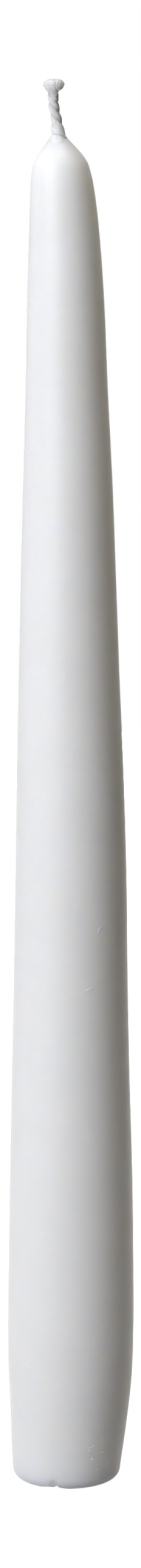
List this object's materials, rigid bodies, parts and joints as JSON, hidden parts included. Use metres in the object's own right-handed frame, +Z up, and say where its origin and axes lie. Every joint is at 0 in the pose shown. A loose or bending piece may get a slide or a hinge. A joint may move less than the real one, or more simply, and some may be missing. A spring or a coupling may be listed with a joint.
{
  "type": "taper candle",
  "caption": "Slim white wax taper candle with a conical tip, a twisted cotton wick stub and a tapered butt that pushes into a candlestick cup.",
  "frame": {"origin": "middle of the flat butt end that the candle stands on", "axes": "+Z up along the candle towards the wick, +X to the right and +Y away from someone who looks at its front; the bow bulges towards +X and the tip leans towards -X"},
  "size_m": [0.0226, 0.0226, 0.25],
  "materials": {
    "wax": "smooth satin white wax, slightly translucent",
    "cotton": "bleached twisted cotton, unburnt, fanned out at the cut end"
  },
  "bodies": {
    "root": {"wax_body": "wax", "wick": "cotton"}
  },
  "joints": []
}
